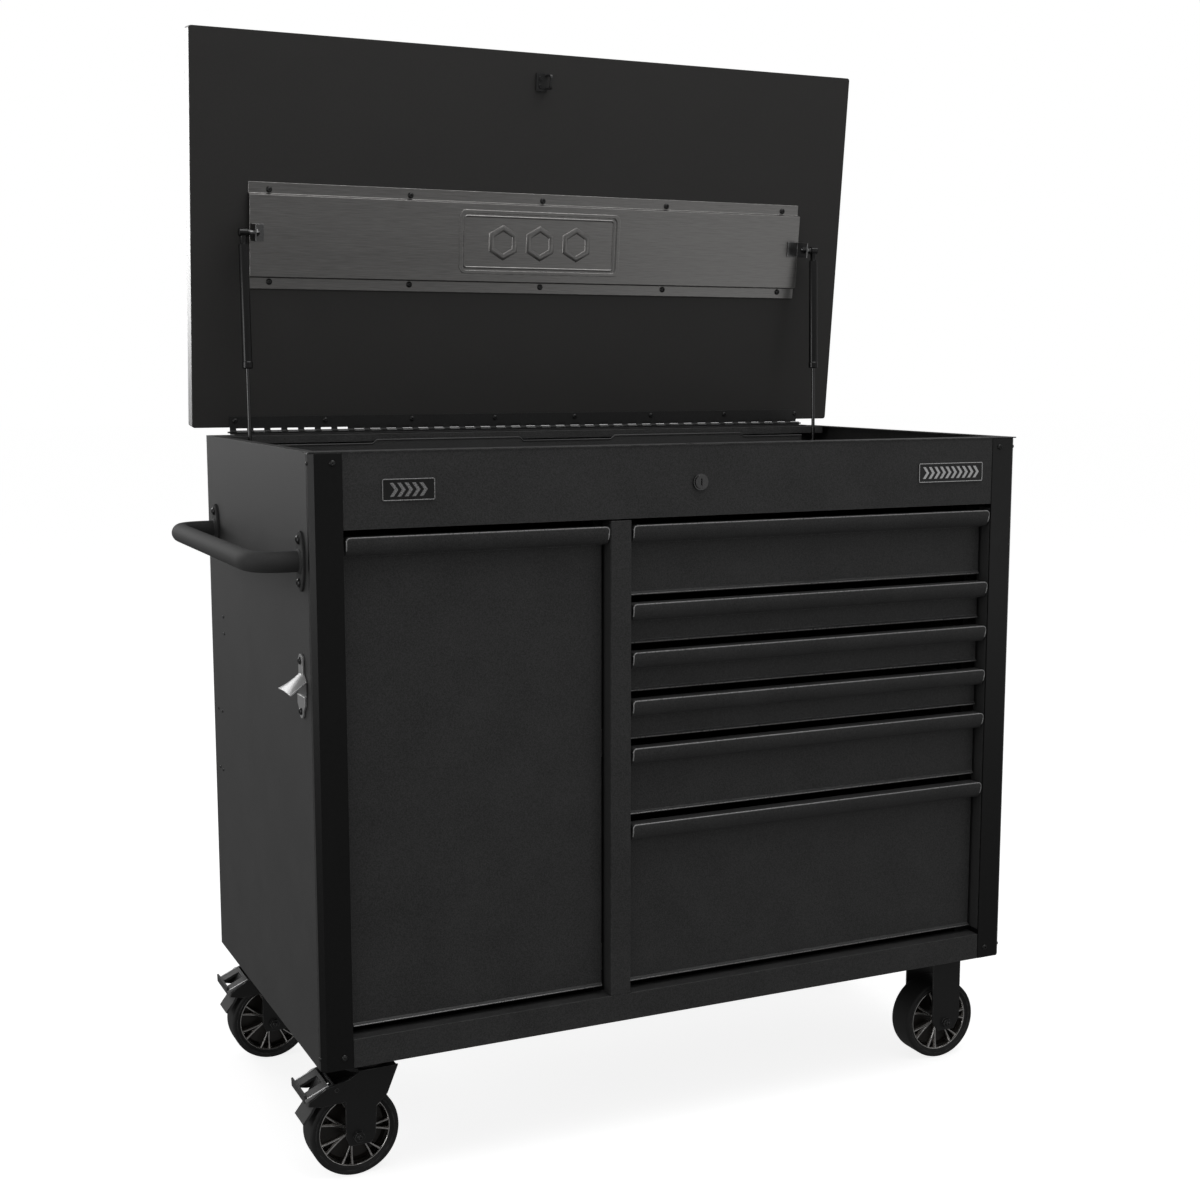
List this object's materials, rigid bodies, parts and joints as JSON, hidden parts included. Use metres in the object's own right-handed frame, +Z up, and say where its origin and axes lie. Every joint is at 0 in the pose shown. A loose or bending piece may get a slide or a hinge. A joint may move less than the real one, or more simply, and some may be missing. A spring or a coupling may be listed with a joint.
{
  "type": "rolling tool chest",
  "caption": "Wide mobile tool cabinet with a lift-up worktop lid on gas struts, a tall pull-out, a bank of drawers, a side push handle and braked castors.",
  "frame": {"origin": "on the floor under the middle of the whole object, lid overhang and side handle included", "axes": "+Z up, -Y towards the user at the drawer fronts, +X to the right of a user facing the drawers"},
  "size_m": [1.221, 0.6166, 1.6209],
  "materials": {
    "powder_coat": "fine wrinkle powder coat, very dark grey, matt",
    "satin_black": "smooth satin black paint",
    "worktop_steel": "brushed stainless skin of the lift-up worktop",
    "channel_steel": "brushed steel channel, grain along its length",
    "zinc": "plated fittings, lightly cast",
    "drawer_steel": "plain satin paint inside the drawers",
    "pull": "satin coated drawer fronts with a rolled lip pull",
    "castor_black": "satin black pressed castor steel",
    "pedal_plastic": "dark brake pedal",
    "tyre_rubber": "black rubber tread",
    "hub_chrome": "smoked chrome spokes and rim",
    "rod_steel": "dark plated rod"
  },
  "bodies": {
    "cabinet": {"left_side_panel": "powder_coat", "right_side_panel": "powder_coat", "back_panel": "powder_coat", "base_pan": "powder_coat", "compartment_floor": "powder_coat", "centre_divider": "powder_coat", "front_fascia": "powder_coat", "bottom_rail": "powder_coat", "rear_liner": "powder_coat", "left_corner_post": "satin_black", "right_corner_post": "satin_black", "side_handle": "powder_coat", "bottle_opener": "zinc", "left_badge": "zinc", "right_badge": "zinc", "hinge_body_leaf": "satin_black", "castor_front_left_plate": "castor_black", "castor_rear_left_plate": "castor_black", "castor_front_right_fork": "castor_black", "castor_rear_right_fork": "castor_black"},
    "lid": {"lid_worktop": "worktop_steel", "lid_inner_panel": "powder_coat", "lid_channel": "channel_steel", "lid_bracket_left": "zinc", "lid_bracket_right": "zinc", "lid_latch_hook": "satin_black", "hinge_lid_leaf": "satin_black"},
    "lock": {"lock_plug": "zinc"},
    "strut_left_cylinder": {"strut_cylinder_left": "satin_black"},
    "strut_left_rod": {"strut_rod_left": "rod_steel"},
    "strut_right_cylinder": {"strut_cylinder_right": "satin_black"},
    "strut_right_rod": {"strut_rod_right": "rod_steel"},
    "drawer_1": {"drawer_1_box": "drawer_steel", "drawer_1_front": "pull"},
    "drawer_2": {"drawer_2_box": "drawer_steel", "drawer_2_front": "pull"},
    "drawer_3": {"drawer_3_box": "drawer_steel", "drawer_3_front": "pull"},
    "drawer_4": {"drawer_4_box": "drawer_steel", "drawer_4_front": "pull"},
    "drawer_5": {"drawer_5_box": "drawer_steel", "drawer_5_front": "pull"},
    "drawer_6": {"drawer_6_box": "drawer_steel", "drawer_6_front": "pull"},
    "pullout": {"pullout_rack": "drawer_steel", "pullout_shelf": "drawer_steel", "pullout_front": "pull"},
    "castor_front_left_swivel": {"castor_front_left_fork": "castor_black"},
    "castor_front_left_wheel": {"castor_front_left_tyre": "tyre_rubber", "castor_front_left_hub": "hub_chrome"},
    "castor_front_left_brake": {"castor_front_left_pedal": "pedal_plastic"},
    "castor_front_right_wheel": {"castor_front_right_tyre": "tyre_rubber", "castor_front_right_hub": "hub_chrome"},
    "castor_rear_left_swivel": {"castor_rear_left_fork": "castor_black"},
    "castor_rear_left_wheel": {"castor_rear_left_tyre": "tyre_rubber", "castor_rear_left_hub": "hub_chrome"},
    "castor_rear_left_brake": {"castor_rear_left_pedal": "pedal_plastic"},
    "castor_rear_right_wheel": {"castor_rear_right_tyre": "tyre_rubber", "castor_rear_right_hub": "hub_chrome"}
  },
  "joints": [
    {"name": "lid_hinge", "type": "hinge", "parent": "cabinet", "child": "lid", "pos_m": [0.0275, 0.27771, 1.009], "axis": [1, 0, 0], "range_deg": [0, 84.1]},
    {"name": "strut_left_swing", "type": "hinge", "parent": "lid", "child": "strut_left_cylinder", "pos_m": [-0.483, 0.21331, 1.31601], "axis": [1, 0, 0], "range_deg": [-4.77, 0]},
    {"name": "strut_left_stroke", "type": "slide", "parent": "strut_left_cylinder", "child": "strut_left_rod", "axis": [0, 0.0281, 0.9996], "range_m": [0, 0.14902]},
    {"name": "strut_right_swing", "type": "hinge", "parent": "lid", "child": "strut_right_cylinder", "pos_m": [0.538, 0.21331, 1.31601], "axis": [1, 0, 0], "range_deg": [-4.77, 0]},
    {"name": "strut_right_stroke", "type": "slide", "parent": "strut_right_cylinder", "child": "strut_right_rod", "axis": [0, 0.0281, 0.9996], "range_m": [0, 0.14902]},
    {"name": "lock_turn", "type": "hinge", "parent": "cabinet", "child": "lock", "pos_m": [0.0345, -0.30329, 0.951], "axis": [0, 1, 0], "range_deg": [0, 90]},
    {"name": "drawer_1_slide", "type": "slide", "parent": "cabinet", "child": "drawer_1", "axis": [0, -1, 0], "range_m": [0, 0.48]},
    {"name": "drawer_2_slide", "type": "slide", "parent": "cabinet", "child": "drawer_2", "axis": [0, -1, 0], "range_m": [0, 0.48]},
    {"name": "drawer_3_slide", "type": "slide", "parent": "cabinet", "child": "drawer_3", "axis": [0, -1, 0], "range_m": [0, 0.48]},
    {"name": "drawer_4_slide", "type": "slide", "parent": "cabinet", "child": "drawer_4", "axis": [0, -1, 0], "range_m": [0, 0.48]},
    {"name": "drawer_5_slide", "type": "slide", "parent": "cabinet", "child": "drawer_5", "axis": [0, -1, 0], "range_m": [0, 0.48]},
    {"name": "drawer_6_slide", "type": "slide", "parent": "cabinet", "child": "drawer_6", "axis": [0, -1, 0], "range_m": [0, 0.48]},
    {"name": "pullout_slide", "type": "slide", "parent": "cabinet", "child": "pullout", "axis": [0, -1, 0], "range_m": [0, 0.48]},
    {"name": "castor_front_left_swivel", "type": "hinge", "parent": "cabinet", "child": "castor_front_left_swivel", "pos_m": [-0.4525, -0.23629, 0.175], "axis": [0, 0, 1], "continuous": true},
    {"name": "castor_front_left_roll", "type": "hinge", "parent": "castor_front_left_swivel", "child": "castor_front_left_wheel", "pos_m": [-0.4745, -0.23629, 0.0635], "axis": [0, 1, 0], "continuous": true},
    {"name": "castor_front_left_brake", "type": "hinge", "parent": "castor_front_left_swivel", "child": "castor_front_left_brake", "pos_m": [-0.5045, -0.23629, 0.135], "axis": [0, -1, 0], "range_deg": [0, 7]},
    {"name": "castor_front_right_roll", "type": "hinge", "parent": "cabinet", "child": "castor_front_right_wheel", "pos_m": [0.5075, -0.23629, 0.0635], "axis": [0, 1, 0], "continuous": true},
    {"name": "castor_rear_left_swivel", "type": "hinge", "parent": "cabinet", "child": "castor_rear_left_swivel", "pos_m": [-0.4525, 0.21971, 0.175], "axis": [0, 0, 1], "continuous": true},
    {"name": "castor_rear_left_roll", "type": "hinge", "parent": "castor_rear_left_swivel", "child": "castor_rear_left_wheel", "pos_m": [-0.4745, 0.21971, 0.0635], "axis": [0, 1, 0], "continuous": true},
    {"name": "castor_rear_left_brake", "type": "hinge", "parent": "castor_rear_left_swivel", "child": "castor_rear_left_brake", "pos_m": [-0.5045, 0.21971, 0.135], "axis": [0, -1, 0], "range_deg": [0, 7]},
    {"name": "castor_rear_right_roll", "type": "hinge", "parent": "cabinet", "child": "castor_rear_right_wheel", "pos_m": [0.5075, 0.21971, 0.0635], "axis": [0, 1, 0], "continuous": true}
  ],
  "couplings": [
    {"joint": "strut_left_swing", "follows": "lid_hinge", "ratio": -0.056698},
    {"joint": "strut_left_stroke", "follows": "lid_hinge", "m_per_rad": 0.10153},
    {"joint": "strut_right_swing", "follows": "lid_hinge", "ratio": -0.056698},
    {"joint": "strut_right_stroke", "follows": "lid_hinge", "m_per_rad": 0.10153}
  ]
}
